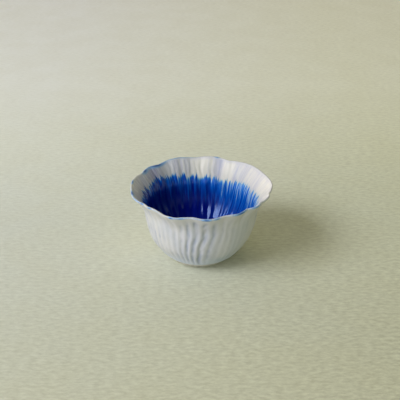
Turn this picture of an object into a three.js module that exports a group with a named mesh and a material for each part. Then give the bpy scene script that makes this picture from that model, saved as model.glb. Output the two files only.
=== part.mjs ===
// A snack bowl of glazed porcelain: a fluted cup with a flared rim of petals, the foot ring
// luted under it, and the coat of cobalt glaze that fills its well.
// Millimetres, +Z up. The bowl stands on the plane Z = 0 and its rim is centred on the Z axis.
import * as THREE from "three";

const { clamp, degToRad, euclideanModulo, lerp, radToDeg, smoothstep } = THREE.MathUtils;

// The foot ring
const footHeight = 3.2;
const footRadius = 26;
const footWidth = 4.2;
const footChamfer = 0.5;
const footTaper = 0.5; // the ring widens this much towards the cup

// The cup, outside
const bowlHeight = 64.5;
const rimRadius = 60.9; // out to the crest of a petal
const waistRadius = 49; // where the wall stands most upright, below the flare
const waistHeight = 43;
const waistSlope = 0.09; // the wall still opens a little at its waist
const waistEase = 20; // the stretch of wall below the waist that stays upright
const neckEase = 7; // and the stretch above it
const flareAngle = 42; // degrees from upright, at the rim
const flareLength = 8; // the stretch of wall that keeps that angle
const seatLip = 1.5; // the flat seat under the cup shows this much outside the foot ring
const seatMargin = 0.5; // and this much inside it
const bellyRun = 9; // how far the belly leaves the seat before it turns up
const bellyRise = 0.6;
const recessDepth = 1.4; // the underside is trimmed this far above the seat
const recessDome = 0.2; // and a little more in the middle
const recessStep = 1.5; // how far in the slant between the two reaches

// The cup, inside
const rimThickness = 1.6;
const wallThickness = 2.8; // at the waist
const floorThickness = 2.8; // in the middle of the well
const wellSag = 0.4; // the floor of the well dips this much
const wellFloorRun = 22; // and runs this far out before it turns up
const wellTurnIn = 14; // the middle of that turn lies this far in from the inner waist
const wellTurnUp = 7.6; // and this far above the floor
const wellTurnAngle = 47; // degrees from upright, in the middle of the turn
const wellTurnRun = 9; // the stretch of wall that eases into the turn
const wellRiseRun = 11; // the stretch that eases out of it
const wellWaistEase = 10; // and the stretch that eases into the waist

// The flutes combed down the outside: narrow grooves between broad ridges
const fluteCount = 50;
const fluteDepth = 0.8;
const fluteRunIn = 10; // they start over this length of wall above the seat
const fluteRunOut = 13; // and fade over this length below the rim
const swayAngle = -82; // degrees; the comb wanders most here, at the front
const swayNarrowness = 30; // how quickly the wander dies away to both sides
const swayReach = 1.1; // sideways, one way and back again
const swayLength = 76; // the height of that whole wave
const twist = 3.4; // the flutes also slip this much towards -X on their way down
const twistStart = 1.5; // from this far above the waist
const twistSpan = 14; // over this height
const grooveSharpness = 1.2; // above 1 the grooves are narrower than the ridges
const lightTouch = 0.32; // the share of the depth that a light touch of the comb leaves

// Where the comb was pressed harder: the angle and half the width in degrees, and how much
const firmPlaces = [
  { angle: -88, halfWidth: 22, extra: 0.75 },
  { angle: -135, halfWidth: 40, extra: 0.2 },
  { angle: 75, halfWidth: 35, extra: 0.5 },
  { angle: 160, halfWidth: 25, extra: 0.35 },
];

// The soft ribs combed up the inside, from the turn of the well to the rim
const ribCount = 36;
const ribDepth = 0.34;
const ribStart = 16; // along the wall from the middle of the well
const ribFull = 44;

// The coat of cobalt glaze
const glazeThickness = 0.4;
const glazeEdge = 0.15; // its thickness where it runs out on the wall
const whiteBand = 17; // the wall between the glaze and the rim, measured along the wall
const tongueLength = 5; // the brushed tongues of the glaze's upper edge
const glazeTilt = 1.6; // the glaze climbs this much higher at -X, and lower at +X

// The marks of the hand
const footOffset = 1.5; // the foot stands this far from the rim's centre, towards -X
const rimTilt = 0.7; // the rim stands this much higher at +X, and lower at -X
const unevenness = 0.3; // the share by which flutes and tongues differ round the bowl
const slowWaves = 5;
const quickWaves = 11;

// The petals of the rim, anticlockwise from +X. Each starts, at an angle in degrees, with a
// notch that cuts into the rim. lift raises the middle of the petal, or lowers it.
const petalRoundness = 1.3; // the notches are sharp at 1, and softer above it
const petals = [
  { from: 22, notch: 1.0, lift: 0.2 },
  { from: 65, notch: 3.2, lift: 0.7 },
  { from: 97, notch: 0.7, lift: 1.2 },
  { from: 130, notch: 1.6, lift: 0.6 },
  { from: 152, notch: 1.8, lift: 0.3 },
  { from: 184, notch: 0.6, lift: 0.5 },
  { from: 217, notch: 3.8, lift: -0.6 },
  { from: 263, notch: 2.0, lift: -0.8 },
  { from: 289, notch: 1.8, lift: 0.2 },
  { from: 310, notch: 3.0, lift: 0.3 },
  { from: 328, notch: 1.8, lift: 0.4 },
  { from: 345, notch: 1.4, lift: 0.1 },
];

// How finely the curves are cut into facets
const facetsPerFlute = 4;
const wallRows = 9;
const lipRows = 3;
const bandRows = 3;
const wellRows = 6;
const footFacets = 72;

const facets = fluteCount * facetsPerFlute;
const seatOutside = footRadius + footTaper + seatLip;
const seatInside = footRadius - footWidth - seatMargin;
const recessHeight = footHeight + recessDepth;
const floorHeight = recessHeight + recessDome + floorThickness;
const lipRadius = rimThickness / 2;
const lipCentre = new THREE.Vector2(rimRadius - lipRadius, bowlHeight - lipRadius);
const alongLip = new THREE.Vector2(Math.sin(degToRad(flareAngle)), Math.cos(degToRad(flareAngle)));
const acrossLip = new THREE.Vector2(alongLip.y, -alongLip.x);

const upright = new THREE.Vector2(waistSlope, 1);

// The wall in section above its waist, out to the lip.
function flare(waist, lipEnd) {
  const aboveWaist = waist.clone().addScaledVector(upright, neckEase);
  const underLip = lipEnd.clone().addScaledVector(alongLip, -flareLength);
  return new THREE.CubicBezierCurve(waist, aboveWaist, underLip, lipEnd);
}

// The outer wall in section: a round belly up to the waist, and the flare.
function outerSection() {
  const seat = new THREE.Vector2(seatOutside, footHeight);
  const belly = new THREE.Vector2(seatOutside + bellyRun, footHeight + bellyRise);
  const waist = new THREE.Vector2(waistRadius, waistHeight);
  const belowWaist = waist.clone().addScaledVector(upright, -waistEase);
  const profile = new THREE.CurvePath();
  profile.add(new THREE.CubicBezierCurve(seat, belly, belowWaist, waist));
  profile.add(flare(waist, lipCentre.clone().addScaledVector(acrossLip, lipRadius)));
  return profile;
}

// The inner wall in section: the floor, its turn into a long gentle rise, and the flare.
function innerSection() {
  const waist = new THREE.Vector2(waistRadius - wallThickness, waistHeight);
  const middle = new THREE.Vector2(0, floorHeight);
  const floorEnd = new THREE.Vector2(wellFloorRun, floorHeight - wellSag);
  const turn = new THREE.Vector2(waist.x - wellTurnIn, floorHeight + wellTurnUp);
  const tilt = degToRad(wellTurnAngle);
  const onward = new THREE.Vector2(Math.sin(tilt), Math.cos(tilt));
  const intoTurn = turn.clone().addScaledVector(onward, -wellTurnRun);
  const outOfTurn = turn.clone().addScaledVector(onward, wellRiseRun);
  const belowWaist = waist.clone().addScaledVector(upright, -wellWaistEase);
  const profile = new THREE.CurvePath();
  profile.add(new THREE.CubicBezierCurve(middle, floorEnd, intoTurn, turn));
  profile.add(new THREE.CubicBezierCurve(turn, outOfTurn, belowWaist, waist));
  profile.add(flare(waist, lipCentre.clone().addScaledVector(acrossLip, -lipRadius)));
  return profile;
}

const outerProfile = outerSection();
const innerProfile = innerSection();
const outerLength = outerProfile.getLength();
const innerLength = innerProfile.getLength();

// How far the rim is cut in and lifted in one direction. The petal is the last that starts
// before the angle, and its two notches fade into each other along it.
function petalAt(angle) {
  const first = petals[0].from;
  const degrees = first + euclideanModulo(radToDeg(angle) - first, 360);
  const index = petals.findLastIndex((petal) => petal.from <= degrees);
  const petal = petals[index];
  const next = petals[index + 1] ?? { ...petals[0], from: first + 360 };
  const along = (degrees - petal.from) / (next.from - petal.from);
  const bulge = Math.pow(Math.sin(Math.PI * along), petalRoundness);
  return { inset: lerp(petal.notch, next.notch, along) * (1 - bulge), lift: petal.lift * bulge };
}

// Where a point of the plain turned bowl lies on the hand-made one. The petals and the rim's
// tilt grow from the waist up, and the foot stands off centre.
function handMade(radius, height, angle) {
  const { inset, lift } = petalAt(angle);
  const grown = smoothstep(height, waistHeight, bowlHeight);
  const climbed = clamp((height - footHeight) / (bowlHeight - footHeight), 0, 1);
  const reach = radius - inset * grown;
  return new THREE.Vector3(
    reach * Math.cos(angle) - footOffset * (1 - climbed),
    reach * Math.sin(angle),
    height + grown * (lift + rimTilt * Math.cos(angle)),
  );
}

// The hand's pressure round the bowl, between 1 - unevenness and 1 + unevenness.
function pressure(angle) {
  const wave = 0.6 * Math.sin(slowWaves * angle + 1) + 0.4 * Math.sin(quickWaves * angle);
  return 1 + unevenness * wave;
}

// How hard the comb was pressed in one direction.
function firmness(angle) {
  const extras = firmPlaces.map((place) => {
    const apart = euclideanModulo(radToDeg(angle) - place.angle + 180, 360) - 180;
    return place.extra * Math.exp(-Math.pow(apart / place.halfWidth, 2));
  });
  return extras.reduce((sum, extra) => sum + extra, lightTouch);
}

// The sideways wander of a flute, in millimetres.
function sway(angle, height) {
  const near = Math.pow(0.5 + 0.5 * Math.cos(angle - degToRad(swayAngle)), swayNarrowness);
  const wave = swayReach * Math.sin((2 * Math.PI * (bowlHeight - height)) / swayLength);
  const top = waistHeight + twistStart;
  const slip = twist * (1 - smoothstep(height, top - twistSpan, top));
  return near * (wave - slip);
}

// A closed ring of points round the bowl.
function ring(pointAt) {
  return Array.from({ length: facets }, (_, i) => pointAt((2 * Math.PI * i) / facets));
}

// A ring of the outer wall. share runs from 0 at the seat to 1 at the lip.
function outerRing(share) {
  const { x: radius, y: height } = outerProfile.getPoint(share);
  const started = smoothstep(share * outerLength, 0, fluteRunIn);
  const left = smoothstep((1 - share) * outerLength, 0, fluteRunOut);
  const drawn = started * left;
  const axis = new THREE.Vector3(0, 0, 1);
  return ring((angle) => {
    const groove = Math.pow(0.5 + 0.5 * Math.cos(fluteCount * angle), grooveSharpness);
    const depth = fluteDepth * drawn * groove * firmness(angle) * pressure(angle);
    const point = handMade(radius - depth, height, angle);
    return point.applyAxisAngle(axis, (drawn * sway(angle, height)) / radius);
  });
}

// A point of the inner wall, lifted off it by a coat of glaze where coat isn't 0.
function innerPoint(share, angle, coat = 0) {
  const { x: radius, y: height } = innerProfile.getPoint(share);
  const along = innerProfile.getTangent(share);
  const rib = ribDepth * Math.cos(ribCount * angle);
  const drawn = smoothstep(share * innerLength, ribStart, ribFull);
  return handMade(radius + rib * drawn - coat * along.y, height + coat * along.x, angle);
}

// The share of the inner wall that the glaze climbs, with a tongue between the ribs.
function glazeShare(angle) {
  const brushed = 0.5 - 0.5 * Math.cos(ribCount * angle);
  const tongue = tongueLength * (brushed * pressure(angle) - 0.5);
  return 1 - (whiteBand - tongue + glazeTilt * Math.cos(angle)) / innerLength;
}

// Joins a chain of rings into one closed skin. A ring of one point closes an end with a fan.
// Two skins that share rings fit face to face when their diagonals are cut alike.
function skin(rings, cutForward) {
  const starts = rings.map((_, row) => rings.slice(0, row).flat().length);
  const corner = (row, i) => starts[row] + (i % rings[row].length);
  const faces = [];
  for (let row = 0; row + 1 < rings.length; row += 1) {
    for (let i = 0; i < facets; i += 1) {
      const [a, b] = [corner(row, i), corner(row, i + 1)];
      const [d, c] = [corner(row + 1, i), corner(row + 1, i + 1)];
      const halves = cutForward ? [[a, b, c], [a, c, d]] : [[a, b, d], [b, c, d]];
      faces.push(...halves.filter((half) => new Set(half).size === 3));
    }
  }
  const geometry = new THREE.BufferGeometry();
  geometry.setFromPoints(rings.flat());
  geometry.setIndex(faces.flat());
  geometry.computeVertexNormals();
  return geometry;
}

// Even steps from one value to another, both ends included.
function steps(from, to, count) {
  return Array.from({ length: count + 1 }, (_, i) => lerp(from, to, i / count));
}

// The underside inside the foot ring, from its middle out to the seat's inner edge.
function undersideRings() {
  return [
    [handMade(0, recessHeight + recessDome, 0)],
    ring((angle) => handMade(seatInside - recessStep, recessHeight, angle)),
    ring((angle) => handMade(seatInside, footHeight, angle)),
  ];
}

// The round edge of the lip, between the outer and the inner wall.
function lipRings() {
  const turns = steps(0, Math.PI, lipRows).slice(1, -1);
  return turns.map((turn) => {
    const spot = lipCentre.clone();
    spot.addScaledVector(acrossLip, lipRadius * Math.cos(turn));
    spot.addScaledVector(alongLip, lipRadius * Math.sin(turn));
    return ring((angle) => handMade(spot.x, spot.y, angle));
  });
}

// The bare inner wall, from the lip down to the last ring above the glaze.
function bandRings() {
  const shares = steps(1, 0, bandRows).slice(0, -1);
  return shares.map((share) =>
    ring((angle) => innerPoint(lerp(glazeShare(angle), 1, share), angle)),
  );
}

// The inner wall from the glaze's edge down to the middle of the well, under its glaze or,
// with a coat, on top of it.
function wellRings(edgeCoat, coat) {
  const edge = ring((angle) => innerPoint(glazeShare(angle), angle, edgeCoat));
  const shares = steps(1, 0, wellRows).slice(1, -1);
  const rows = shares.map((share) =>
    ring((angle) => innerPoint(share * glazeShare(angle), angle, coat)),
  );
  return [edge, ...rows, [innerPoint(0, 0, coat)]];
}

// The cup: one closed porcelain shell.
function bowlBody() {
  const wall = steps(0, 1, wallRows).map(outerRing);
  return skin([...undersideRings(), ...wall, ...lipRings(), ...bandRings(), ...wellRings(0, 0)], true);
}

// The foot ring, turned from a section with chamfered edges where it stands.
function footRing() {
  const inside = footRadius - footWidth;
  const section = [
    new THREE.Vector2(inside + footChamfer, 0),
    new THREE.Vector2(footRadius - footChamfer, 0),
    new THREE.Vector2(footRadius, footChamfer),
    new THREE.Vector2(footRadius + footTaper, footHeight),
    new THREE.Vector2(inside, footHeight),
    new THREE.Vector2(inside, footChamfer),
    new THREE.Vector2(inside + footChamfer, 0),
  ];
  return new THREE.LatheGeometry(section, footFacets).rotateX(Math.PI / 2);
}

// The glaze coat: a thin closed skin that lies face to face on the well.
function innerGlaze() {
  return skin([...wellRings(0, 0).reverse(), ...wellRings(glazeEdge, glazeThickness)], false);
}

// A named mesh with its own material.
function piece(name, geometry, look) {
  const mesh = new THREE.Mesh(geometry, new THREE.MeshStandardMaterial(look));
  mesh.name = name;
  return mesh;
}

const whiteGlaze = { color: 0xd5d8d6, roughness: 0.18, metalness: 0 };
const bareClay = { color: 0xcfc9b8, roughness: 0.75, metalness: 0 };
const cobaltGlaze = { color: 0x0b3f9c, roughness: 0.1, metalness: 0 };

const bowl = new THREE.Group();
bowl.add(piece("bowl_body", bowlBody(), whiteGlaze));
const foot = piece("foot_ring", footRing(), bareClay);
foot.position.x = -footOffset;
bowl.add(foot);
bowl.add(piece("inner_glaze", innerGlaze(), cobaltGlaze));

export default bowl;
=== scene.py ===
"""The looks of a small porcelain snack bowl: fluted outside, petals at the rim, cobalt in its well.

Metres, +Z up. The cup, its cobalt coat and its foot are turned as plain rings and set by the
marks of the hand. A Geometry Nodes tree then combs the flutes and ribs into the cup and the
coat. Their two glazes share the node groups of the brushed cobalt and of the white under it.
"""
import math

import bpy
import numpy as np
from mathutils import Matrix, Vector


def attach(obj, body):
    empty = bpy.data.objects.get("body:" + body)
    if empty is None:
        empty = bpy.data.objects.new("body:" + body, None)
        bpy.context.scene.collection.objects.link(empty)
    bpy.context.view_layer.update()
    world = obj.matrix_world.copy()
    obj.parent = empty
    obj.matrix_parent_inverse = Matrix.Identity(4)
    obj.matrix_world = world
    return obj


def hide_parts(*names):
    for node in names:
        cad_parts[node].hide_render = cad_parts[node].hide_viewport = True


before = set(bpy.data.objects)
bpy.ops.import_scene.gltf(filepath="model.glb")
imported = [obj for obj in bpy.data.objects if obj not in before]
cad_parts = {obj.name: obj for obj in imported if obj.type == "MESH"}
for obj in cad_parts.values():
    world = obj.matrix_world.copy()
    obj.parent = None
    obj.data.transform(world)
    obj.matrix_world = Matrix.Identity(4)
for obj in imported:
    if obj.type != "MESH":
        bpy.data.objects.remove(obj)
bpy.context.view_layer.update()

MM = 0.001
TURN = 2 * math.pi

# The foot ring
FOOT_HEIGHT = 3.2 * MM
FOOT_RADIUS = 26 * MM
FOOT_WIDTH = 4.2 * MM
FOOT_TAPER = 0.5 * MM
FOOT_ROUNDING = 0.6 * MM
FOOT_COLUMNS = 256

# The cup, outside
BOWL_HEIGHT = 64.5 * MM
RIM_RADIUS = 60.9 * MM
WAIST_RADIUS = 49 * MM
WAIST_HEIGHT = 43 * MM
WAIST_SLOPE = 0.09
WAIST_EASE = 20 * MM
NECK_EASE = 7 * MM
FLARE_ANGLE = math.radians(42)
FLARE_LENGTH = 8 * MM
SEAT_SHOULDER = 1.5 * MM
SEAT_LEDGE = 0.5 * MM
SEAT_MARGIN = 2 * MM
SEAT_OUTSIDE = FOOT_RADIUS + FOOT_TAPER + SEAT_SHOULDER
SEAT_INSIDE = FOOT_RADIUS - FOOT_WIDTH - SEAT_LEDGE
BELLY_RUN = 9 * MM
BELLY_RISE = 0.6 * MM
RECESS_DEPTH = 1.4 * MM
RECESS_HEIGHT = FOOT_HEIGHT + RECESS_DEPTH
RECESS_DOME = 0.2 * MM
RECESS_STEP = 1.5 * MM
RECESS_ROUNDING = 0.6 * MM
RECESS_MIDDLE = 2 * MM

# The cup, inside
LIP_RADIUS = 0.8 * MM
WALL_THICKNESS = 2.8 * MM
FLOOR_THICKNESS = 2.8 * MM
FLOOR_HEIGHT = RECESS_HEIGHT + RECESS_DOME + FLOOR_THICKNESS
WELL_SAG = 0.4 * MM
WELL_FLOOR_RUN = 22 * MM
WELL_TURN = (32.2 * MM, 15.2 * MM)
WELL_TURN_ANGLE = math.radians(47)
WELL_TURN_RUN = 9 * MM
WELL_RISE_RUN = 11 * MM
WELL_WAIST_EASE = 10 * MM

# The comb: flutes outside, and the soft ribs that it leaves inside
FLUTE_COUNT = 50
FLUTE_DEPTH = 0.8 * MM
FLUTE_RUN_IN = 20 * MM
FLUTE_RUN_OUT = 13 * MM
RIB_COUNT = 36
RIB_DEPTH = 0.34 * MM
RIB_START = 16 * MM
RIB_FULL = 44 * MM
RIB_EASE = 0.45
RIB_EASE_START = 30 * MM
RIB_EASE_END = 16 * MM
LINE_DEPTH = 0.14 * MM
LINE_RUN_IN = 4 * MM
LINE_EASE = 0.7
SWAY_ANGLE = math.radians(-82)
SWAY_NARROWNESS = 30
SWAY_REACH = 1.1 * MM
SWAY_LENGTH = 76 * MM
TWIST = 2.5 * MM
TWIST_TOP = WAIST_HEIGHT + 1.5 * MM
TWIST_SPAN = 14 * MM

# Where the comb's strokes lie further apart, near the front
WIDE_ANGLE = math.radians(-84)
WIDE_SPAN = math.radians(15)
WIDENING = 0.24

# The coat of cobalt glaze
COAT_THICKNESS = 0.4 * MM
COAT_EDGE = 0.02 * MM
COAT_RUN_OUT = 7 * MM
WHITE_BAND = 17 * MM
TONGUE_LENGTH = 5 * MM
GLAZE_TILT = 1.6 * MM

# The marks of the hand
FOOT_OFFSET = 1.5 * MM
RIM_TILT = 0.7 * MM
UNEVENNESS = 0.3
SLOW_WAVES = 5
SLOW_SHARE = 0.6
QUICK_WAVES = 11

# The petals of the rim, anticlockwise from +X: the angle in degrees where each starts, how
# far its notch cuts into the rim, and how far its middle lifts.
PETAL_ROUNDNESS = 1.3
PETALS = (
    (22, 1.0 * MM, 0.2 * MM),
    (65, 3.2 * MM, 0.7 * MM),
    (97, 0.7 * MM, 1.2 * MM),
    (130, 1.6 * MM, 0.6 * MM),
    (152, 1.8 * MM, 0.3 * MM),
    (184, 0.6 * MM, 0.5 * MM),
    (217, 3.8 * MM, -0.6 * MM),
    (263, 2.0 * MM, -0.8 * MM),
    (289, 1.8 * MM, 0.2 * MM),
    (310, 3.0 * MM, 0.3 * MM),
    (328, 1.8 * MM, 0.4 * MM),
    (345, 1.4 * MM, 0.1 * MM),
)

# Where the outside is pressed in by hand: the angle and half the width in degrees, the height
# and half the height of the place, and how far it is pressed in. The first goes all round.
ALL_ROUND = 1000
PRESSES = (
    (0, ALL_ROUND, 10 * MM, 7 * MM, 0.9 * MM),
    (230, 32, 10 * MM, 7 * MM, 1.2 * MM),
    (300, 25, 10 * MM, 7 * MM, 0.7 * MM),
    (200, 35, 34 * MM, 14 * MM, 0.8 * MM),
)

# Folds of the rim's petals, at the back and at the front left: the angle and half the width in
# degrees, and how far the wall is pressed in there, or out where it is less than nothing. A fold
# starts at a height, grows over a span, and lifts the rim by a share of its depth.
FOLD_START = 42 * MM
FOLD_SPAN = 14 * MM
FOLD_LIFT = 0.5
FOLDS = (
    (82, 7, 1.1 * MM),
    (69, 7, -0.7 * MM),
    (55, 7, 0.2 * MM),
    (95, 5, -0.3 * MM),
    (112, 6, 0.4 * MM),
    (124, 6, -0.9 * MM),
    (136, 6, 0.5 * MM),
    (218, 4, -0.8 * MM),
    (231, 7, 1.4 * MM),
    (249, 6, -0.7 * MM),
)

# Where the coat of cobalt starts lower on the wall than elsewhere: the angle and half the width
# in degrees, and how much lower, or higher where it is less than nothing.
LOW_EDGES = (
    (62, 15, 5.0 * MM),
    (89, 10, 3.4 * MM),
    (106, 7, 2.8 * MM),
    (140, 14, -1.2 * MM),
    (178, 22, 0.9 * MM),
    (24, 13, 2.2 * MM),
)

# Painted shade and painted light of the petal folds inside the band: the angle and half the
# width in degrees, and how strong the lavender painted shade is there. Less than nothing leaves
# the band cream, as painted light.
FOLD_SHADE_MARKS = (
    (73, 4.5, 0.55),
    (46, 6, 0.25),
    (112, 5, 0.2),
    (140, 5, 0.3),
    (89, 6, -0.6),
    (124, 5, -0.5),
    (62, 7, -0.3),
)

# Where the ribs inside are softer near the rim: the angle and half the width in degrees, and how
# much softer.
SOFT_RIBS = (
    (35, 32, 0.75),
)

# Where the ribs are nearly smoothed away down in the well: the angle and half the width in
# degrees, and how much softer. The window is mirrored there in one broad mark.
SMOOTHED_WELL = (
    (67, 4, 0.8),
)

# Touches of cobalt that the brush left on the lip: the angle in degrees, half the width in
# degrees, how far inside the crest of the lip the touch sits, its half depth, and its strength.
LIP_TOUCHES = (
    (133, 11, 1.5 * MM, 1.9 * MM, 0.9),
    (148, 5, 1.5 * MM, 2.2 * MM, 0.85),
    (110, 14, 0.4 * MM, 0.9 * MM, 0.75),
    (76, 2.5, 0.4 * MM, 1.2 * MM, 0.8),
    (172, 3.5, 0.6 * MM, 1.4 * MM, 0.85),
    (193, 4.5, 0.6 * MM, 2.4 * MM, 1.0),
    (213, 2, -0.6 * MM, 1.0 * MM, 0.8),
    (223, 2.5, -0.6 * MM, 0.9 * MM, 0.8),
    (246, 2, -0.9 * MM, 1.3 * MM, 0.9),
    (254, 3, -0.9 * MM, 1.2 * MM, 0.65),
    (274, 4, -0.9 * MM, 1.6 * MM, 0.9),
    (282, 3, -0.9 * MM, 1.4 * MM, 0.7),
    (302, 7, -0.4 * MM, 1.4 * MM, 0.85),
    (318, 6, -0.2 * MM, 1.0 * MM, 0.6),
)

# The thin wash of cobalt all along the lip
WASH_STRENGTH = 0.22
WASH_THINNEST = 0.25
WASH_UNEVENNESS = 0.8
WASH_ANGLE = math.radians(245)
WASH_FACING = (-0.2, 0.6)
WASH_CENTRE = -0.5 * MM
WASH_HALF_DEPTH = 1.3 * MM

# Where the comb was pressed harder: the angle and half the width in degrees, and how much
# harder, or lighter where it is less than nothing. Elsewhere it is pressed as LIGHT_TOUCH says.
LIGHT_TOUCH = 0.32
FIRM_PLACES = (
    (-92, 17, 0.45),
    (-88, 3.5, 0.6),
    (-74, 4, -0.15),
    (-135, 40, 0.2),
    (-40, 24, -0.2),
    (12, 20, 0.22),
    (75, 35, 0.5),
    (160, 25, 0.35),
)

# How finely the skins are divided
COLUMNS = 13 * FLUTE_COUNT
OUTSIDE_ROWS = 62
LIP_ROWS = 7
BAND_DEPTH = 27 * MM
BAND_ROWS = 34
WELL_ROWS = 20
UNDER_COAT_ROWS = 26
OVER_COAT_ROWS = 52
SECOND_COAT_ROW = 0.998

# The soft glows of the room: the angle round the bowl and the height in degrees, the strength,
# and the tint of the light. The low ones fade out above the tops of the furniture, between two
# heights that are written as sines.
PALE_WALL = (0.99, 0.915, 1.118)
GREEN_WALL = (1.0, 1.139, 0.881)
WARM_WALL = (1.222, 1.105, 0.746)
CEILING = (1.03, 1.03, 0.94)
GLOW_NARROWNESS = 10.0
LOW_GLOW = 8
FURNITURE_TOP = 0.15
GLOW_END = 0.45
ROOM_GLOWS = (
    (180, LOW_GLOW, 2.65, PALE_WALL),
    (225, LOW_GLOW, 6.3, PALE_WALL),
    (270, LOW_GLOW, 2.7, GREEN_WALL),
    (0, LOW_GLOW, 1.7, GREEN_WALL),
    (45, LOW_GLOW, 2.5, WARM_WALL),
    (135, LOW_GLOW, 4.1, WARM_WALL),
    (90, 42, 0.55, WARM_WALL),
    (0, 90, 0.42, CEILING),
)


def between(value, low, high):
    """0 below low, 1 above high, and an easy curve between them."""
    share = np.clip((value - low) / (high - low), 0, 1)
    return share * share * (3 - 2 * share)


# Sections

def curve(start, start_handle, end_handle, end, steps=400):
    """Points along one easy curve."""
    t = np.linspace(0, 1, steps)[:, None]
    points = [np.asarray(p, float) for p in (start, start_handle, end_handle, end)]
    weights = ((1 - t) ** 3, 3 * t * (1 - t) ** 2, 3 * t * t * (1 - t), t ** 3)
    return sum(w * p for w, p in zip(weights, points))


def rounded(corners, radius, steps=5):
    """A section through these corners, with each one but the ends turned by a small round."""
    corners = np.asarray(corners, float)
    points = [corners[0]]
    for before, corner, after in zip(corners, corners[1:], corners[2:]):
        leaving = (before - corner) / np.linalg.norm(before - corner)
        going = (after - corner) / np.linalg.norm(after - corner)
        for t in np.linspace(0, 1, steps):
            start, end = corner + leaving * radius, corner + going * radius
            points.append((1 - t) ** 2 * start + 2 * t * (1 - t) * corner + t * t * end)
    points.append(corners[-1])
    return np.array(points)


class Section:
    """One side of the wall in section, as radius and height, read by the share of its length."""

    def __init__(self, points):
        self.points = points
        steps = np.hypot(*np.diff(points, axis=0).T)
        self.lengths = np.concatenate([[0], np.cumsum(steps)])
        self.length = self.lengths[-1]

    def at(self, share):
        lengths = np.asarray(share) * self.length
        return tuple(np.interp(lengths, self.lengths, self.points[:, side]) for side in (0, 1))

    def direction(self, share):
        step = 0.002
        low, high = self.at(np.clip(share - step, 0, 1)), self.at(np.clip(share + step, 0, 1))
        run, rise = high[0] - low[0], high[1] - low[1]
        return run / np.hypot(run, rise), rise / np.hypot(run, rise)


ALONG_LIP = np.array([math.sin(FLARE_ANGLE), math.cos(FLARE_ANGLE)])
ACROSS_LIP = np.array([ALONG_LIP[1], -ALONG_LIP[0]])
LIP_CENTRE = np.array([RIM_RADIUS - LIP_RADIUS, BOWL_HEIGHT - LIP_RADIUS])


def flare(waist, lip_end):
    """The top of the wall, from the upright waist out to the lip."""
    upright = np.array([WAIST_SLOPE, 1])
    return curve(waist, waist + upright * NECK_EASE, lip_end - ALONG_LIP * FLARE_LENGTH, lip_end)


def outer_section():
    """The outer wall: a round belly, an upright waist and the flare."""
    waist = np.array([WAIST_RADIUS, WAIST_HEIGHT])
    start = (SEAT_OUTSIDE, FOOT_HEIGHT)
    start_handle = (SEAT_OUTSIDE + BELLY_RUN, FOOT_HEIGHT + BELLY_RISE)
    belly = curve(start, start_handle, waist - np.array([WAIST_SLOPE, 1]) * WAIST_EASE, waist)
    return Section(np.concatenate([belly, flare(waist, LIP_CENTRE + ACROSS_LIP * LIP_RADIUS)[1:]]))


def inner_section():
    """The inner wall: a flat floor, a turn into a long gentle rise, the waist and the flare."""
    waist = np.array([WAIST_RADIUS - WALL_THICKNESS, WAIST_HEIGHT])
    turn = np.array(WELL_TURN)
    onward = np.array([math.sin(WELL_TURN_ANGLE), math.cos(WELL_TURN_ANGLE)])
    floor_handle = (WELL_FLOOR_RUN, FLOOR_HEIGHT - WELL_SAG)
    floor = curve((0, FLOOR_HEIGHT), floor_handle, turn - onward * WELL_TURN_RUN, turn)
    eased = waist - np.array([WAIST_SLOPE, 1]) * WELL_WAIST_EASE
    rise = curve(turn, turn + onward * WELL_RISE_RUN, eased, waist)
    top = flare(waist, LIP_CENTRE - ACROSS_LIP * LIP_RADIUS)
    return Section(np.concatenate([floor, rise[1:], top[1:]]))


outer_wall = outer_section()
inner_wall = inner_section()


# The marks of the hand

def petal_at(angle):
    """How far the rim is cut in, and how far it lifts, in each direction."""
    starts = np.array([petal[0] for petal in PETALS] + [PETALS[0][0] + 360.0])
    notches = np.array([petal[1] for petal in PETALS] + [PETALS[0][1]])
    lifts = np.array([petal[2] for petal in PETALS])
    degrees = starts[0] + (np.degrees(angle) - starts[0]) % 360
    index = np.clip(np.searchsorted(starts, degrees, side="right") - 1, 0, len(PETALS) - 1)
    along = (degrees - starts[index]) / (starts[index + 1] - starts[index])
    bulge = np.sin(math.pi * along) ** PETAL_ROUNDNESS
    notch = notches[index] + (notches[index + 1] - notches[index]) * along
    return notch * (1 - bulge), lifts[index] * bulge


def degrees_from(angle, degrees):
    """How many degrees an angle lies from a place round the bowl."""
    return (np.degrees(angle) - degrees + 180) % 360 - 180


def marks_near(angle, places):
    """The sum of some hand marks, each a soft bump (degrees, half width in degrees, amount)."""
    total = np.zeros(np.shape(angle))
    for degrees, half_width, amount in places:
        total = total + amount * np.exp(-(degrees_from(angle, degrees) / half_width) ** 2)
    return total


def hand_made(radius, height, angle):
    """Where points of the plain turned bowl lie on the hand-made one."""
    notch, lift = petal_at(angle)
    grown = between(height, WAIST_HEIGHT, BOWL_HEIGHT)
    fold = marks_near(angle, FOLDS)
    radius = radius - fold * between(height, FOLD_START, FOLD_START + FOLD_SPAN)
    climbed = np.clip((height - FOOT_HEIGHT) / (BOWL_HEIGHT - FOOT_HEIGHT), 0, 1)
    reach = radius - notch * grown
    x = reach * np.cos(angle) - FOOT_OFFSET * (1 - climbed)
    y = reach * np.sin(angle)
    z = height + grown * (lift + FOLD_LIFT * fold + RIM_TILT * np.cos(angle))
    return np.stack(np.broadcast_arrays(x, y, z), axis=-1)


def pressure(angle):
    """The hand's pressure round the bowl."""
    slow, quick = np.sin(SLOW_WAVES * angle + 1), np.sin(QUICK_WAVES * angle)
    return 1 + UNEVENNESS * (SLOW_SHARE * slow + (1 - SLOW_SHARE) * quick)


def firmness(angle):
    """How hard the comb was pressed round the bowl."""
    return LIGHT_TOUCH + marks_near(angle, FIRM_PLACES)


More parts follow.
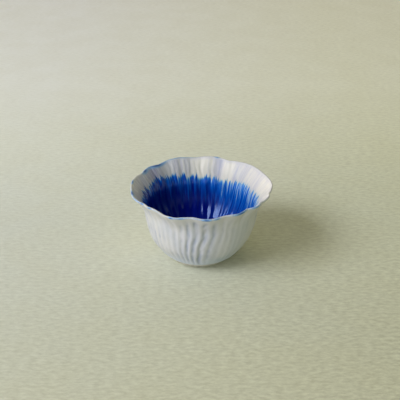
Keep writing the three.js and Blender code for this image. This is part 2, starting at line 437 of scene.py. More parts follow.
def sway(angle, height):
    """The sideways wander of a flute."""
    near = (0.5 + 0.5 * np.cos(angle - SWAY_ANGLE)) ** SWAY_NARROWNESS
    wave = SWAY_REACH * np.sin(TURN * (BOWL_HEIGHT - height) / SWAY_LENGTH)
    slip = TWIST * (1 - between(height, TWIST_TOP - TWIST_SPAN, TWIST_TOP))
    return near * (wave - slip)


def stroke_turn(angle):
    """The angle that the comb's strokes are counted by: it runs slower where they lie wide."""
    apart = (angle - WIDE_ANGLE + math.pi) % TURN - math.pi
    return angle - WIDENING * apart * np.exp(-0.5 * (apart / WIDE_SPAN) ** 2)


def coat_edge(angle):
    """How far below the rim the coat starts, along the wall."""
    return WHITE_BAND + GLAZE_TILT * np.cos(angle) + marks_near(angle, LOW_EDGES)


def coat_share(angle):
    """The share of the inner wall that the coat climbs, with a tongue between the ribs."""
    brushed = 0.5 - 0.5 * np.cos(RIB_COUNT * angle)
    tongue = TONGUE_LENGTH * (brushed * pressure(angle) - 0.5)
    return 1 - (coat_edge(angle) - tongue) / inner_wall.length


def lip_paint(angle, below_rim):
    """The cobalt on the lip: a thin uneven wash, and the touches."""
    uneven = 1 + WASH_UNEVENNESS * np.sin(SLOW_WAVES * angle + 2) * np.sin(QUICK_WAVES * angle)
    facing = between(np.cos(angle - WASH_ANGLE), *WASH_FACING)
    heavy = WASH_THINNEST + (1 - WASH_THINNEST) * facing
    across = (below_rim - WASH_CENTRE) / WASH_HALF_DEPTH
    paint = WASH_STRENGTH * heavy * uneven * np.exp(-across ** 2)
    for degrees, half_width, inside, half_depth, strength in LIP_TOUCHES:
        along = degrees_from(angle, degrees) / half_width
        across = (below_rim - inside) / half_depth
        paint = np.maximum(paint, strength * np.exp(-along ** 2 - across ** 2))
    return paint


# Rings of points, each with what the comb and the glazes need to know there

ANGLES = np.arange(COLUMNS) * TURN / COLUMNS
AROUND = ANGLES[None, :]


def ring_marks(rows, below_rim, combed=0.0, slip=0.0, ribbed=0.0, lined=0.0, washed=0.0):
    """The marks of some rings. below_rim is the way along the wall from the crest of the lip,
    positive inside the bowl and negative outside it."""
    shape = (rows, COLUMNS)
    marks = {"turn": AROUND, "below_rim": below_rim, "combed": combed, "slip": slip}
    marks.update(ribbed=ribbed, lined=lined, washed=washed)
    marks["lip_paint"] = lip_paint(AROUND, below_rim)
    marks["below_edge"] = below_rim - coat_edge(AROUND)
    return {name: np.broadcast_to(value, shape) for name, value in marks.items()}


def outside_rings(rows):
    """The outer wall, from the seat up to the lip."""
    share = np.linspace(0, 1, rows)[:, None]
    radius, height = outer_wall.at(share)
    for degrees, half_width, middle, half_height, depth in PRESSES:
        level = np.exp(-((height - middle) / half_height) ** 2)
        radius = radius - level * marks_near(AROUND, ((degrees, half_width, depth),))
    started = between(share * outer_wall.length, 0, FLUTE_RUN_IN)
    left = between((1 - share) * outer_wall.length, 0, FLUTE_RUN_OUT)
    marked = started * left
    combed = marked * firmness(AROUND)
    slip = marked * sway(AROUND, height) / radius
    below = -LIP_RADIUS * math.pi / 2 - (1 - share) * outer_wall.length
    points = hand_made(radius, height, AROUND)
    marks = ring_marks(rows, below, combed=combed, slip=slip)
    marks["turn"] = np.broadcast_to(stroke_turn(AROUND), slip.shape)
    return points, marks


def lip_rings(rows):
    """The round edge of the lip, from the outer wall over to the inner one."""
    turn = np.linspace(0, math.pi, rows + 2)[1:-1, None]
    edge = LIP_CENTRE + LIP_RADIUS * (ACROSS_LIP * np.cos(turn) + ALONG_LIP * np.sin(turn))
    points = hand_made(edge[:, :1], edge[:, 1:], AROUND)
    ribbed = turn / math.pi * (1 - RIB_EASE) * (1 - marks_near(AROUND, SOFT_RIBS))
    return points, ring_marks(rows, LIP_RADIUS * (turn - math.pi / 2), ribbed=ribbed)


def inside_rings(share, coat=0.0):
    """The inner wall at these shares of its length, lifted off it by a coat of glaze."""
    radius, height = inner_wall.at(share)
    run, rise = inner_wall.direction(share)
    points = hand_made(radius - coat * rise, height + coat * run, AROUND)
    along = share * inner_wall.length
    left = inner_wall.length - along
    near_rim = 1 - between(left, RIB_EASE_END, RIB_EASE_START)
    soft = marks_near(AROUND, SOFT_RIBS)
    smoothed = marks_near(AROUND, SMOOTHED_WELL)
    ribbed = between(along, RIB_START, RIB_FULL) * (1 - RIB_EASE * near_rim) * (1 - soft * near_rim)
    ribbed = ribbed * (1 - smoothed * (1 - near_rim))
    lined = near_rim * between(left, 0, LINE_RUN_IN) * (1 - LINE_EASE * soft)
    # Painted shade and painted light of the petal folds.
    washed = marks_near(AROUND, FOLD_SHADE_MARKS)
    below = LIP_RADIUS * math.pi / 2 + left
    return points, ring_marks(len(share), below, ribbed=ribbed, lined=lined, washed=washed)


def middle_point(height, below_rim):
    """A ring of one point that closes a skin in the middle of the bowl."""
    point = hand_made(np.zeros(1), np.full(1, height), np.zeros(1))[None]
    names = ("turn", "combed", "slip", "ribbed", "lined", "washed", "lip_paint")
    marks = dict.fromkeys(names, np.zeros((1, 1)))
    marks["below_rim"] = np.full((1, 1), below_rim)
    return point, {**marks, "below_edge": marks["below_rim"] - WHITE_BAND}


def underside_rings():
    """The underside inside the foot ring, and the seat that the ring is luted to."""
    corners = [
        (RECESS_MIDDLE, RECESS_HEIGHT + RECESS_DOME),
        (SEAT_INSIDE - RECESS_STEP, RECESS_HEIGHT),
        (SEAT_INSIDE, FOOT_HEIGHT),
        (SEAT_OUTSIDE - SEAT_MARGIN, FOOT_HEIGHT),
    ]
    section = rounded(corners, RECESS_ROUNDING)
    radius, height = section[:, :1], section[:, 1:]
    points = hand_made(radius, height, AROUND)
    return points, ring_marks(len(section), np.full((len(section), 1), -outer_wall.length))


def skin(name, groups):
    """Joins groups of rings, ordered from one middle point to the other, into a closed skin."""
    points = np.concatenate([group[0].reshape(-1, 3) for group in groups])
    counts = [group[0].shape[1] for group in groups for _ in range(len(group[0]))]
    starts = np.concatenate([[0], np.cumsum(counts)[:-1]])
    column = np.arange(COLUMNS)
    onward = (column + 1) % COLUMNS
    faces = []
    for low, high, low_count, high_count in zip(starts, starts[1:], counts, counts[1:]):
        if low_count == 1:
            faces += np.stack([np.full(COLUMNS, low), high + onward, high + column], 1).tolist()
        elif high_count == 1:
            faces += np.stack([low + column, low + onward, np.full(COLUMNS, high)], 1).tolist()
        else:
            sides = (low + column, low + onward, high + onward, high + column)
            faces += np.stack(sides, 1).tolist()
    mesh = bpy.data.meshes.new(name)
    mesh.from_pydata(points.tolist(), [], faces)
    mesh.shade_smooth()
    for mark in groups[0][1]:
        values = np.concatenate([group[1][mark].ravel() for group in groups])
        attribute = mesh.attributes.new(mark, "FLOAT", "POINT")
        attribute.data.foreach_set("value", values.astype(np.float32))
    return mesh


def cup_mesh():
    """The porcelain cup, from the middle of its underside round to the middle of its well."""
    band = np.linspace(1, 1 - BAND_DEPTH / inner_wall.length, BAND_ROWS)[:, None]
    well = np.linspace(band[-1, 0], 0, WELL_ROWS)[1:-1, None]
    return skin("porcelain_cup", [
        middle_point(RECESS_HEIGHT + RECESS_DOME, -outer_wall.length),
        underside_rings(),
        outside_rings(OUTSIDE_ROWS),
        lip_rings(LIP_ROWS),
        inside_rings(band),
        inside_rings(well),
        middle_point(FLOOR_HEIGHT, inner_wall.length),
    ])


def coat_mesh():
    """The cobalt coat, face to face with the well, thin where it runs out in tongues."""
    edge = coat_share(ANGLES)[None, :]
    under = np.linspace(0, 1, UNDER_COAT_ROWS)[1:, None] * edge
    over = np.append(1, np.linspace(SECOND_COAT_ROW, 0, OVER_COAT_ROWS)[:-1])[:, None] * edge
    down = (edge - over) * inner_wall.length
    thick = COAT_EDGE + (COAT_THICKNESS - COAT_EDGE) * between(down, 0, COAT_RUN_OUT)
    return skin("cobalt_coat", [
        middle_point(FLOOR_HEIGHT, inner_wall.length),
        inside_rings(under),
        inside_rings(over, thick),
        middle_point(FLOOR_HEIGHT + COAT_THICKNESS, inner_wall.length),
    ])


def foot_mesh():
    """The foot ring, turned from a section with soft corners."""
    inside = FOOT_RADIUS - FOOT_WIDTH
    corners = [
        (inside, FOOT_HEIGHT / 2),
        (inside, 0),
        (FOOT_RADIUS, 0),
        (FOOT_RADIUS + FOOT_TAPER, FOOT_HEIGHT),
        (inside, FOOT_HEIGHT),
        (inside, FOOT_HEIGHT / 2),
    ]
    section = rounded(corners, FOOT_ROUNDING)
    section[:, 1] = np.clip(section[:, 1], 0, FOOT_HEIGHT)
    rows = len(section) - 1
    angle = np.arange(FOOT_COLUMNS) * TURN / FOOT_COLUMNS
    radius, height = section[:-1, :1], section[:-1, 1:]
    x = radius * np.cos(angle) - FOOT_OFFSET
    y = radius * np.sin(angle)
    points = np.stack(np.broadcast_arrays(x, y, height), axis=-1).reshape(-1, 3)
    faces = []
    for row in range(rows):
        for column in range(FOOT_COLUMNS):
            onward = (column + 1) % FOOT_COLUMNS
            low, high = row * FOOT_COLUMNS, (row + 1) % rows * FOOT_COLUMNS
            faces.append((low + column, low + onward, high + onward, high + column))
    mesh = bpy.data.meshes.new("foot")
    mesh.from_pydata(points.tolist(), [], faces)
    mesh.shade_smooth()
    return mesh


# Node trees

class Bench:
    """A node tree being built. Each call adds one node and gives back its output."""

    def __init__(self, tree):
        self.tree = tree
        tree.nodes.clear()

    def socket_in(self, kind, name, value=None):
        socket = self.tree.interface.new_socket(name, in_out="INPUT", socket_type=kind)
        if value is not None:
            socket.default_value = value

    def socket_out(self, kind, name):
        self.tree.interface.new_socket(name, in_out="OUTPUT", socket_type=kind)

    def node(self, kind, inputs=(), output=0, **settings):
        node = self.tree.nodes.new(kind)
        for name, value in settings.items():
            setattr(node, name, value)
        for name, value in dict(inputs).items():
            if isinstance(value, bpy.types.NodeSocket):
                self.tree.links.new(value, node.inputs[name])
            else:
                node.inputs[name].default_value = value
        return node.outputs[output] if len(node.outputs) else node

    def math(self, operation, a, b=0.0, clamp=False):
        return self.node("ShaderNodeMath", {0: a, 1: b}, operation=operation, use_clamp=clamp)

    def add(self, a, b):
        return self.math("ADD", a, b)

    def times(self, a, b):
        return self.math("MULTIPLY", a, b)

    def spread(self, value, low, high, new_low=0.0, new_high=1.0, easy=True):
        """Maps low..high to new_low..new_high, held at both ends."""
        ends = {"From Min": low, "From Max": high, "To Min": new_low, "To Max": new_high}
        kind = "SMOOTHSTEP" if easy else "LINEAR"
        return self.node("ShaderNodeMapRange", {"Value": value, **ends}, interpolation_type=kind)

    def vector(self, operation, inputs, output=0):
        return self.node("ShaderNodeVectorMath", inputs, output, operation=operation)

    def scaled(self, vector, x, y, z):
        return self.vector("MULTIPLY", {0: vector, 1: (x, y, z)})

    def level(self, position):
        """The level way from the bowl's middle line to a point."""
        return self.scaled(position, 1.0, 1.0, 0.0)

    def coordinate(self, vector, axis):
        return self.node("ShaderNodeSeparateXYZ", {0: vector}, output="XYZ".index(axis))

    def noise(self, vector, scale, detail=2.0, seed=0.0, roughness=0.5):
        inputs = {"Vector": vector, "W": seed, "Scale": scale, "Detail": detail}
        inputs["Roughness"] = roughness
        return self.node("ShaderNodeTexNoise", inputs, noise_dimensions="4D")

    def bump(self, height, distance, strength):
        inputs = {"Height": height, "Distance": distance, "Strength": strength}
        return self.node("ShaderNodeBump", inputs)

    def mix(self, share, a, b, blend="MIX"):
        node = self.tree.nodes.new("ShaderNodeMix")
        node.data_type = "RGBA"
        node.blend_type = blend
        for socket, value in zip((node.inputs[0], node.inputs[6], node.inputs[7]), (share, a, b)):
            if isinstance(value, bpy.types.NodeSocket):
                self.tree.links.new(value, socket)
            else:
                socket.default_value = value
        return node.outputs[2]

    def stain(self, cover, under, glaze):
        """A glaze over another colour, with a cover of its own for red, green and blue."""
        node = self.tree.nodes.new("ShaderNodeMix")
        node.data_type = "VECTOR"
        node.factor_mode = "NON_UNIFORM"
        places = (node.inputs[1], node.inputs[4], node.inputs[5])
        for socket, value in zip(places, (cover, under, glaze)):
            self.tree.links.new(value, socket)
        return node.outputs[1]

    def ramp(self, value, stops):
        """Colours along a value, from (place, colour) stops."""
        node = self.tree.nodes.new("ShaderNodeValToRGB")
        self.tree.links.new(value, node.inputs[0])
        elements = node.color_ramp.elements
        while len(elements) < len(stops):
            elements.new(1.0)
        for element, (place, shade) in zip(elements, stops):
            element.position = place
            element.color = shade
        return node.outputs[0]


# Colours

def light_of(shown):
    """The light that one part of a colour stands for, where the screen shows 0 to 255."""
    share = shown / 255
    return share / 12.92 if share <= 0.04045 else ((share + 0.055) / 1.055) ** 2.4


def colour(red, green, blue):
    """A colour written as the screen shows it, as the light that it stands for."""
    return light_of(red), light_of(green), light_of(blue), 1.0


# The white of the porcelain outside and inside, and the haze over it: at the left, then further
# right. It turns from the one to the other between LEFT_SIDE and the middle of the bowl. Inside,
# the white and the haze are darker and greyer at the left as painted shade.
LEFT_SIDE = -45 * MM
OUTER_WHITES = colour(187, 187, 178), colour(186, 186, 185)
INNER_WHITES_WITH_LEFT_SHADE = colour(184, 185, 190), colour(206, 204, 190)
HAZES_WITH_LEFT_SHADE = colour(141, 140, 161), colour(162, 165, 179)
CURTAIN_GREY = colour(160, 166, 172)
FOOT_BLUE = colour(178, 192, 206)
POOLED_BLUE = colour(130, 140, 156)

# The cobalt, from where it runs out to where it lies deepest, and on the lip
COBALT_DEPTHS = (
    (0.0, colour(137, 171, 209)),
    (0.12, colour(72, 132, 196)),
    (0.3, colour(12, 98, 192)),
    (0.5, colour(2, 80, 180)),
    (0.75, colour(1, 48, 140)),
    (1.0, colour(1, 19, 120)),
)
THIN_COBALT = colour(124, 158, 192)
HEAVY_COBALT = colour(37, 75, 143)

# The foot's bare clay
CLAYS = colour(176, 174, 160), colour(164, 162, 146)
CLAY_GRAIN = colour(141, 136, 120)

# The cloth, from its near edge to its far one, brighter towards the far edge as painted light, and
# the painted light on it from the left to the right
CLOTH_AND_LIGHT_AWAY = (
    (0.0, colour(211, 212, 188)),
    (0.245, colour(219, 222, 204)),
    (0.41, colour(234, 236, 216)),
    (0.6, colour(245, 246, 231)),
    (1.0, colour(253, 253, 241)),
)
CLOTH_LIGHTS = (0.98, 0.985, 1.03, 1.0), (0.99, 0.985, 0.88, 1.0)
CLOTH_CREASE_SHADE = colour(90, 82, 30)
CLOTH_CLOUD = colour(196, 190, 140)


# The comb

def comb_tree():
    """Combs flutes into the outer wall and leaves ribs in the inner one."""
    bench = Bench(bpy.data.node_groups.new("Combed Wall", "GeometryNodeTree"))
    bench.tree.is_modifier = True
    bench.socket_in("NodeSocketGeometry", "Wall")
    bench.socket_in("NodeSocketInt", "Flute Count", FLUTE_COUNT)
    bench.socket_in("NodeSocketFloat", "Flute Depth", FLUTE_DEPTH)
    bench.socket_in("NodeSocketFloat", "Groove Sharpness", 1.0)
    bench.socket_in("NodeSocketInt", "Rib Count", RIB_COUNT)
    bench.socket_in("NodeSocketFloat", "Rib Depth", RIB_DEPTH)
    bench.socket_in("NodeSocketFloat", "Line Depth", LINE_DEPTH)
    bench.socket_in("NodeSocketFloat", "Unevenness", 0.55)
    bench.socket_in("NodeSocketFloat", "Wander", 0.9)
    bench.socket_in("NodeSocketFloat", "Seed", 3.0)
    bench.socket_in("NodeSocketMaterial", "Glaze")
    bench.socket_out("NodeSocketGeometry", "Combed Wall")
    given = bench.tree.nodes.new("NodeGroupInput").outputs

    def mark(name):
        return bench.node("GeometryNodeInputNamedAttribute", {"Name": name}, data_type="FLOAT")

    # How fast the hand changes up the wall, how fast it wanders and presses, and how much
    climb_scale, wander_scale, press_scale = 22.0, 3.0, 6.0
    wander_gain, press_gain, press_seed = 4.0, 5.0, 10.0
    position = bench.node("GeometryNodeInputPosition")
    outward = bench.vector("NORMALIZE", {0: bench.level(position)})
    climb = bench.scaled(position, 0.0, 0.0, climb_scale)
    strolled = bench.vector("ADD", {0: outward, 1: climb})
    wander = bench.noise(strolled, wander_scale, seed=given["Seed"])
    wandered = bench.times(bench.add(wander, -0.5), bench.times(given["Wander"], wander_gain))
    phase = bench.add(bench.times(mark("turn"), given["Flute Count"]), wandered)
    rib_phase = bench.add(bench.times(mark("turn"), given["Rib Count"]), wandered)
    trough = bench.math("MULTIPLY_ADD", bench.math("COSINE", phase), 0.5)
    trough.node.inputs[2].default_value = 0.5
    groove = bench.math("POWER", trough, given["Groove Sharpness"])
    press = bench.noise(strolled, press_scale, seed=bench.add(given["Seed"], press_seed))
    pressed = bench.times(bench.times(bench.add(press, -0.5), press_gain), given["Unevenness"])
    hand = bench.add(pressed, 1.0)
    cut = bench.times(bench.times(groove, hand), mark("combed"))
    rib = bench.times(bench.times(bench.math("COSINE", rib_phase), hand), mark("ribbed"))
    inward = bench.times(cut, given["Flute Depth"])
    line = bench.math("COSINE", bench.times(bench.add(rib_phase, wandered), 2.0))
    line = bench.times(bench.times(line, hand), mark("lined"))
    inward = bench.math("SUBTRACT", inward, bench.times(line, given["Line Depth"]))
    pushed = bench.math("SUBTRACT", bench.times(rib, given["Rib Depth"]), inward)
    offset = bench.vector("SCALE", {0: outward, "Scale": pushed})
    carved = bench.node("GeometryNodeSetPosition", {"Geometry": given["Wall"], "Offset": offset})
    spun = bench.node(
        "ShaderNodeVectorRotate",
        {"Vector": position, "Angle": mark("slip")},
        rotation_type="Z_AXIS",
    )
    slipped = bench.node("GeometryNodeSetPosition", {"Geometry": carved, "Position": spun})
    grooved = bench.node(
        "GeometryNodeStoreNamedAttribute",
        {"Geometry": slipped, "Name": "groove", "Value": cut},
        data_type="FLOAT", domain="POINT",
    )
    realized = bench.node("GeometryNodeRealizeInstances", {"Geometry": grooved})
    dressing = {"Geometry": realized, "Material": given["Glaze"]}
    bench.node("NodeGroupOutput", {0: bench.node("GeometryNodeSetMaterial", dressing)})
    return bench.tree


def combed(mesh, tree, glaze):
    """Combs a turned mesh and gives the finished piece."""
    piece = bpy.data.objects.new(mesh.name, mesh)
    bpy.context.scene.collection.objects.link(piece)
    comb = piece.modifiers.new("comb", "NODES")
    comb.node_group = tree
    sockets = {item.name: item.identifier for item in tree.interface.items_tree}
    comb[sockets["Glaze"]] = glaze
    evaluated = piece.evaluated_get(bpy.context.evaluated_depsgraph_get())
    finished = bpy.data.meshes.new_from_object(evaluated)
    finished.name = mesh.name
    piece.modifiers.clear()
    piece.data = finished
    return piece


# Glazes

def cobalt_group():
    """Where the brushed cobalt lies on the inner wall, and its colour there, deeper at the left as
    painted shade and lighter at the right as painted light.
    """
    bench = Bench(bpy.data.node_groups.new("Brushed Cobalt", "ShaderNodeTree"))
    bench.socket_in("NodeSocketVector", "Position")
    bench.socket_in("NodeSocketFloat", "Below Edge")
    bench.socket_in("NodeSocketFloat", "Feather", 2.2 * MM)
    bench.socket_out("NodeSocketVector", "Cover")
    bench.socket_out("NodeSocketFloat", "Haze_And_Shade")
    bench.socket_out("NodeSocketColor", "Colour")
    bench.socket_out("NodeSocketFloat", "Streak")
    given = bench.tree.nodes.new("NodeGroupInput").outputs
    # How close the brush's hairs lie round the well, and how fast they change on the way down
    hairs, drift = 46.0, 50.0
    level = bench.level(given["Position"])
    outward = bench.vector("NORMALIZE", {0: level})
    from_middle = bench.vector("LENGTH", {0: level}, output=1)
    around = bench.scaled(outward, hairs, hairs, hairs)
    along = bench.node("ShaderNodeCombineXYZ", {"Z": bench.times(given["Below Edge"], drift)})
    brush = bench.vector("ADD", {0: around, 1: along})
    broad = bench.add(bench.noise(brush, 0.15, seed=1.0), -0.5)
    medium = bench.add(bench.noise(brush, 0.42, seed=2.0), -0.5)
    fine = bench.add(bench.noise(brush, 1.1, detail=3.0, seed=3.0), -0.5)
    brushed = bench.spread(from_middle, 12 * MM, 36 * MM)
    east = bench.times(bench.coordinate(outward, "X"), brushed)
    reach = bench.add(bench.times(broad, 6 * MM), bench.times(medium, 10 * MM))
    reach = bench.add(reach, bench.times(fine, 17 * MM))
    depth = bench.add(given["Below Edge"], reach)
    feather = given["Feather"]
    bare = bench.spread(depth, bench.times(feather, -1.0), feather, 1.0, 0.0)
    # Thin cobalt takes the red out of the white first, then the green, and the blue last
    red_haste, green_haste = 4.5, 2.1
    cover = bench.node("ShaderNodeCombineXYZ", {
        "X": bench.math("SUBTRACT", 1.0, bench.math("POWER", bare, red_haste)),
        "Y": bench.math("SUBTRACT", 1.0, bench.math("POWER", bare, green_haste)),
        "Z": bench.math("SUBTRACT", 1.0, bare),
    })
    tone = bench.spread(depth, -3 * MM, 25 * MM, easy=False)
    # The cobalt is deeper towards the left as painted shade and lighter towards the right as
    # painted light.
    tone = bench.times(tone, bench.spread(east, 0.0, 0.6, 1.0, 0.6))
    tone_and_side_shade = bench.add(tone, bench.spread(east, -1.0, 1.0, 0.46, -0.06, easy=False))
    streak = bench.times(bench.add(medium, bench.times(fine, 2.0)), brushed)
    toned = bench.math("ADD", tone_and_side_shade, bench.times(streak, 0.7), clamp=True)
    shade = bench.ramp(toned, COBALT_DEPTHS)
    wash = bench.spread(bench.noise(brush, 0.13, seed=4.0), 0.44, 0.62)
    line = bench.spread(bench.noise(brush, 0.55, detail=3.0, seed=5.0), 0.5, 0.72)
    hair = bench.spread(bench.noise(brush, 1.9, detail=3.0, seed=6.0), 0.42, 0.62)
    haze_and_shade = bench.add(bench.times(wash, 0.25), bench.times(line, 0.3))
    # The hair lines are laid on more strongly at the left, as painted shade of the ribs there.
    haze_and_shade = bench.add(haze_and_shade, bench.times(hair, bench.spread(east, -0.9, 0.1, 0.6, 0.3)))
    bench.node("NodeGroupOutput", {
        "Cover": cover, "Haze_And_Shade": haze_and_shade, "Colour": shade, "Streak": streak,
    })
    return bench.tree


def white_group():
    """White porcelain under a clear glaze that lies blue-grey where it pooled: in the grooves,
    in soft washes down the outside, and above the foot. The brush's haze lies over it, with the
    painted shade and light of the petal folds. Inside, the white and the haze are darker towards
    the left: painted shade."""
    bench = Bench(bpy.data.node_groups.new("Shaded_Hazed Porcelain", "ShaderNodeTree"))
    bench.socket_in("NodeSocketVector", "Position")
    bench.socket_in("NodeSocketFloat", "Below Rim")
    bench.socket_in("NodeSocketFloat", "Groove")
    bench.socket_in("NodeSocketFloat", "Haze_And_Shade")
    bench.socket_out("NodeSocketColor", "Colour")
    given = bench.tree.nodes.new("NodeGroupInput").outputs
    place, below = given["Position"], given["Below Rim"]
    above = bench.times(below, -1.0)
    outside = bench.spread(above, 2 * MM, 12 * MM)
    inside = bench.spread(below, 0.0, 5 * MM)
    # Inside, the white and the haze darken towards the left as painted shade.
    righter = bench.spread(bench.coordinate(place, "X"), LEFT_SIDE, 0.0)
    cloud = bench.noise(bench.scaled(place, 1.0, 1.0, 0.5), 62.0, detail=3.0, seed=5.0)
    pool = bench.spread(given["Groove"], 0.05, 1.0)
    pool = bench.times(pool, bench.spread(cloud, 0.38, 0.62, 0.1, 0.9))
    curtain = bench.noise(bench.scaled(place, 1.0, 1.0, 0.25), 75.0, detail=4.0, seed=6.0)
    washed = bench.times(bench.spread(curtain, 0.42, 0.66, 0.12, 0.6), outside)
    foot = bench.spread(above, 48 * MM, 64 * MM, 0.0, 0.4)
    inner = bench.mix(righter, *INNER_WHITES_WITH_LEFT_SHADE)
    outer = bench.mix(righter, *OUTER_WHITES)
    white = bench.mix(inside, outer, inner)
    white = bench.mix(washed, white, CURTAIN_GREY)
    white = bench.mix(foot, white, FOOT_BLUE)
    white = bench.mix(pool, white, POOLED_BLUE)
    haze_and_shade = bench.mix(righter, *HAZES_WITH_LEFT_SHADE)
    bench.node("NodeGroupOutput", {"Colour": bench.mix(given["Haze_And_Shade"], white, haze_and_shade)})
    return bench.tree


def new_material(name):
    """A material and the bench that its tree is built on."""
    material = bpy.data.materials.new(name)
    material.use_nodes = True
    return material, Bench(material.node_tree)


def finish_material(bench, shader):
    bench.node("ShaderNodeOutputMaterial", {"Surface": shader})


def object_coordinates(bench):
    return bench.node("ShaderNodeTexCoord", output="Object")


def mark_on(bench, name):
    return bench.node("ShaderNodeAttribute", output="Fac", attribute_name=name)


def placed(bench, group, inputs):
    """A shader group in a material, on the piece's own coordinates."""
    node = bench.tree.nodes.new("ShaderNodeGroup")
    node.node_tree = group
    bench.tree.links.new(object_coordinates(bench), node.inputs["Position"])
    for name, value in inputs.items():
        bench.tree.links.new(value, node.inputs[name])
    return node.outputs


def brushed_cobalt(bench, group):
    """The cobalt group in a material, with the piece's own marks."""
    return placed(bench, group, {"Below Edge": mark_on(bench, "below_edge")})


def brush_haze_and_fold_shade(bench, cobalt):
    """The brush's own haze with the painted shade and light of the petal folds."""
    return bench.math("ADD", cobalt["Haze_And_Shade"], mark_on(bench, "washed"), clamp=True)


def white_with_haze_and_shade(bench, group, haze_and_shade):
    """The white group in a material, with the piece's own marks."""
    below, groove = mark_on(bench, "below_rim"), mark_on(bench, "groove")
    inputs = {"Below Rim": below, "Groove": groove, "Haze_And_Shade": haze_and_shade}
    return placed(bench, group, inputs)["Colour"]


def clear_glaze(cobalt_tree, white_tree):
    """The cup's glaze: white porcelain, running into cobalt down the inner wall."""
    material, bench = new_material("clear_glaze_on_porcelain")
    cobalt = brushed_cobalt(bench, cobalt_tree)
    inside = bench.spread(mark_on(bench, "below_rim"), 1 * MM, 3 * MM)
    white = white_with_haze_and_shade(bench, white_tree, bench.times(brush_haze_and_fold_shade(bench, cobalt), inside))
    cover = bench.vector("SCALE", {0: cobalt["Cover"], "Scale": inside})
    body = bench.stain(cover, white, cobalt["Colour"])
    paint = mark_on(bench, "lip_paint")
    thin = bench.mix(bench.spread(paint, 0.0, 0.5), body, THIN_COBALT)
    touched = bench.mix(bench.spread(paint, 0.45, 1.0), thin, HEAVY_COBALT)
    ripple = bench.noise(object_coordinates(bench), 260.0, seed=7.0)
    normal = bench.bump(ripple, 0.06 * MM, 0.3)
    shader = bench.node("ShaderNodeBsdfPrincipled", {
        "Base Color": touched, "Roughness": 0.32, "IOR": 1.5, "Specular IOR Level": 0.15,
        "Normal": normal,
    })
    finish_material(bench, shader)
    return material


def cobalt_glaze(cobalt_tree, white_tree):
    """The coat in the well: deep gloss cobalt with brushed streaks, softer near its edge."""
    material, bench = new_material("cobalt_glaze")
    cobalt = brushed_cobalt(bench, cobalt_tree)
    white = white_with_haze_and_shade(bench, white_tree, brush_haze_and_fold_shade(bench, cobalt))
    body = bench.stain(cobalt["Cover"], white, cobalt["Colour"])
    softness = bench.spread(mark_on(bench, "below_edge"), 22 * MM, 32 * MM, 0.24, 0.07)
    normal = bench.bump(cobalt["Streak"], 0.12 * MM, 0.12)
    shader = bench.node("ShaderNodeBsdfPrincipled", {
        "Base Color": body, "Roughness": softness, "IOR": 1.5, "Specular IOR Level": 0.44,
        "Specular Tint": (0.48, 0.66, 1.0, 1.0), "Normal": normal,
    })
    finish_material(bench, shader)
    return material


def bare_clay():
    """The foot: unglazed porcelain clay, fine and matt."""
    material, bench = new_material("bare_clay")
    place = object_coordinates(bench)
    grain = bench.noise(place, 2600.0, detail=3.0, seed=8.0)
    patch = bench.noise(place, 140.0, seed=9.0)
    clay = bench.mix(bench.spread(patch, 0.3, 0.7), *CLAYS)
    grained = bench.mix(bench.spread(grain, 0.55, 0.75, 0.0, 0.5), clay, CLAY_GRAIN)
    roughness = bench.spread(grain, 0.3, 0.7, 0.6, 0.8)
    normal = bench.bump(grain, 0.05 * MM, 0.4)
    shader = bench.node("ShaderNodeBsdfPrincipled", {
        "Base Color": grained, "Roughness": roughness, "Normal": normal,
    })
    finish_material(bench, shader)
    return material


# The stage

def table_cloth():
    """The plain pale floor, a softly crumpled cloth, with painted light across it and painted shade
    in its creases.
    """
    half = 4.0
    mesh = bpy.data.meshes.new("table")
    corners = [(-half, -half, 0), (half, -half, 0), (half, half, 0), (-half, half, 0)]
    mesh.from_pydata(corners, [], [(0, 1, 2, 3)])
    table = bpy.data.objects.new("table", mesh)
    bpy.context.scene.collection.objects.link(table)
    material, bench = new_material("pale_cloth")
    place = object_coordinates(bench)
    side, away = bench.coordinate(place, "X"), bench.coordinate(place, "Y")
    # Brighter towards the far edge and changing from left to right: painted light.
    pale = bench.ramp(bench.spread(away, -0.2, 0.86, easy=False), CLOTH_AND_LIGHT_AWAY)
    light = bench.mix(bench.spread(side, -0.2, 0.2, easy=False), *CLOTH_LIGHTS)
    pale = bench.mix(1.0, pale, light, blend="MULTIPLY")
    creased = bench.scaled(place, 0.7, 1.6, 1.0)
    crumple = bench.noise(creased, 225.0, detail=4.0, seed=11.0, roughness=0.62)
    # The creases are darkened as painted shade, more at the right and near the front.
    depth = bench.times(
        bench.spread(side, -0.2, 0.2, 0.19, 0.32, easy=False),
        bench.spread(away, -0.15, 0.4, 1.1, 0.5, easy=False),
    )
    depth = bench.times(depth, bench.spread(crumple, 0.33, 0.67, easy=False))
    shade = bench.mix(depth, pale, CLOTH_CREASE_SHADE)
    cloud = bench.spread(bench.noise(place, 22.0, seed=12.0), 0.3, 0.7)
    shade = bench.mix(bench.times(cloud, 0.08), shade, CLOTH_CLOUD)
    normal = bench.bump(crumple, 1 * MM, 0.3)
    finish_material(bench, bench.node("ShaderNodeBsdfPrincipled", {
        "Base Color": shade, "Roughness": 0.9, "Specular IOR Level": 0.1, "Normal": normal,
    }))
    mesh.materials.append(material)


def aim(thing, target):
    """Turns a lamp or a camera to look at a point."""
    away = thing.location - target
    thing.rotation_euler = away.to_track_quat("Z", "Y").to_euler()


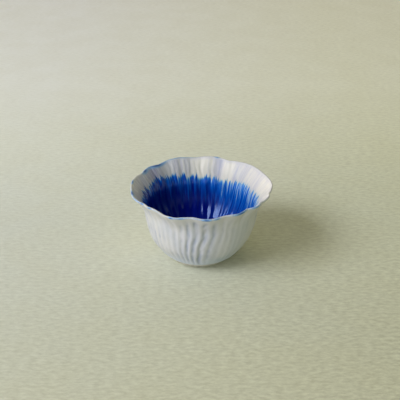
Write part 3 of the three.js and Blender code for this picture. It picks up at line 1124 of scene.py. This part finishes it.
def window_light():
    """A window at the left, a little in front of the bowl."""
    elevation, forward, distance = math.radians(42), math.radians(30), 1.8
    across, tall = math.radians(16), math.radians(11)
    irradiance = 0.73
    bowl_middle = Vector((0, 0, 30 * MM))
    data = bpy.data.lights.new("window", "AREA")
    data.shape = "RECTANGLE"
    data.size = 2 * distance * math.tan(across)
    data.size_y = 2 * distance * math.tan(tall)
    data.energy = irradiance * math.pi ** 2 * distance ** 2
    data.color = (0.88, 0.905, 1.0)
    lamp = bpy.data.objects.new("window", data)
    bpy.context.scene.collection.objects.link(lamp)
    reach = distance * math.cos(elevation)
    lamp.location = (
        -reach * math.cos(forward), -reach * math.sin(forward), distance * math.sin(elevation),
    )
    aim(lamp, bowl_middle)


def room_light():
    """The rest of the room: soft glows low down, strongest at the front left."""
    world = bpy.data.worlds.new("room")
    bpy.context.scene.world = world
    world.use_nodes = True
    bench = Bench(world.node_tree)
    direction = bench.node("ShaderNodeTexCoord", output="Generated")
    low = bench.spread(bench.coordinate(direction, "Z"), FURNITURE_TOP, GLOW_END, 1.0, 0.0)
    room = (0.0, 0.0, 0.0)
    for degrees, height, strength, tint in ROOM_GLOWS:
        around, up = math.radians(degrees), math.radians(height)
        middle = (math.cos(up) * math.cos(around), math.cos(up) * math.sin(around), math.sin(up))
        near = bench.vector("DOT_PRODUCT", {0: direction, 1: middle}, output=1)
        glow = bench.math("EXPONENT", bench.times(bench.add(near, -1.0), GLOW_NARROWNESS))
        if height == LOW_GLOW:
            glow = bench.times(glow, low)
        lit = bench.vector("SCALE", {0: tint, "Scale": bench.times(glow, strength)})
        room = bench.vector("ADD", {0: lit, 1: room})
    light = bench.node("ShaderNodeBackground", {"Color": room, "Strength": 1.0})
    bench.node("ShaderNodeOutputWorld", {"Surface": light})


def camera():
    """The photograph's view: a long lens, looking down at the bowl from the front."""
    data = bpy.data.cameras.new("camera")
    data.lens = 85
    data.sensor_width = 36
    eye = bpy.data.objects.new("camera", data)
    bpy.context.scene.collection.objects.link(eye)
    elevation, distance = math.radians(26.71), 0.8097
    target = Vector((-1.18 * MM, 0, 50.89 * MM))
    away = Vector((0, -math.cos(elevation), math.sin(elevation)))
    eye.location = target + away * distance
    aim(eye, target)
    bpy.context.scene.camera = eye


def main():
    cobalt, white = cobalt_group(), white_group()
    comb = comb_tree()
    cup = combed(cup_mesh(), comb, clear_glaze(cobalt, white))
    coat = combed(coat_mesh(), comb, cobalt_glaze(cobalt, white))
    foot = bpy.data.objects.new("foot", foot_mesh())
    bpy.context.scene.collection.objects.link(foot)
    foot.data.materials.append(bare_clay())
    for piece, node, slot in (
        (cup, "bowl_body", "white_glaze"),
        (coat, "inner_glaze", "cobalt_glaze"),
        (foot, "foot_ring", "bare_clay"),
    ):
        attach(piece, "root")
        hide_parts(node)
    table_cloth()
    window_light()
    room_light()
    camera()
    bpy.context.scene.view_settings.view_transform = "Standard"


main()
